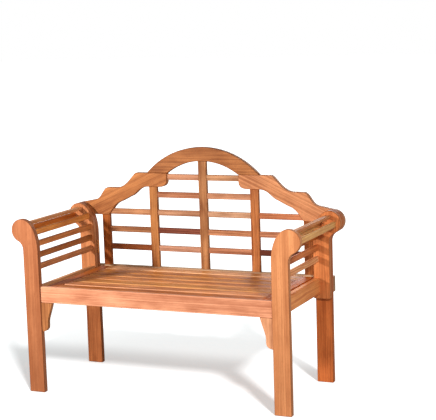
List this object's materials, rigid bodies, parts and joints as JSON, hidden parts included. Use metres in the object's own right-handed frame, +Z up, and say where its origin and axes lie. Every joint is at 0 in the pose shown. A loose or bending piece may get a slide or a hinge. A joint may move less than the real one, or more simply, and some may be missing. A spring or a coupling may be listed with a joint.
{
  "type": "folding garden bench",
  "caption": "Two-seat slatted wooden garden bench with scrolled arms, an arched lattice back and a seat that tips up to fold.",
  "frame": {"origin": "middle of the footprint, on the ground", "axes": "+Z up, +X to the right seen from the front, -Y toward the sitter's knees"},
  "size_m": [1.238, 0.53, 0.955],
  "materials": {
    "light_wood": "oiled",
    "warm_wood": "oiled",
    "brown_wood": "oiled",
    "dark_wood": "oiled",
    "steel": "zinc plated"
  },
  "bodies": {
    "frame": {"rear_leg_left": "warm_wood", "rear_leg_right": "warm_wood", "back_rail": "light_wood", "wing_left": "light_wood", "wing_right": "light_wood", "top_arch": "light_wood", "stile_centre": "warm_wood", "stile_mid_left": "warm_wood", "stile_mid_right": "warm_wood", "stile_outer_left": "warm_wood", "stile_outer_right": "warm_wood", "back_slat_1_left": "warm_wood", "back_slat_1_right": "warm_wood", "back_slat_2_left": "warm_wood", "back_slat_2_right": "warm_wood", "back_slats_3_left": "dark_wood", "back_slats_3_right": "dark_wood", "back_slats_4_left": "warm_wood", "back_slats_4_right": "warm_wood", "back_slats_5_left": "warm_wood", "back_slats_5_right": "warm_wood", "frame_bolts": "steel", "front_leg_left": "warm_wood", "front_leg_right": "warm_wood", "rear_post_left": "warm_wood", "rear_post_right": "warm_wood", "side_rail_left": "brown_wood", "side_rail_right": "brown_wood", "bracket_left": "warm_wood", "bracket_right": "warm_wood", "arm_slat_1_left": "brown_wood", "arm_slat_2_left": "brown_wood", "arm_slat_3_left": "brown_wood", "arm_slat_4_left": "brown_wood", "arm_slat_5_left": "dark_wood", "arm_slat_6_left": "brown_wood", "arm_slat_1_right": "brown_wood", "arm_slat_2_right": "brown_wood", "arm_slat_3_right": "brown_wood", "arm_slat_4_right": "brown_wood", "arm_slat_5_right": "dark_wood", "arm_slat_6_right": "brown_wood", "hinge_leaves_leg": "steel", "hinge_leaves_post": "steel", "hinge_pins": "steel", "seat_pivot_bolts": "steel"},
    "seat": {"apron": "light_wood", "seat_rail_left": "brown_wood", "seat_rail_right": "brown_wood", "bearer_left": "brown_wood", "bearer_right": "brown_wood", "seat_slat_1": "brown_wood", "seat_slat_2": "brown_wood", "seat_slat_3": "brown_wood", "seat_slat_4": "brown_wood", "seat_slat_5": "brown_wood", "seat_slat_6": "brown_wood", "seat_slat_7": "brown_wood", "slat_screws": "steel"}
  },
  "joints": [
    {"name": "seat_fold", "type": "hinge", "parent": "frame", "child": "seat", "pos_m": [0, 0.225, 0.4235], "axis": [-1, 0, 0], "range_deg": [0, 90]}
  ]
}
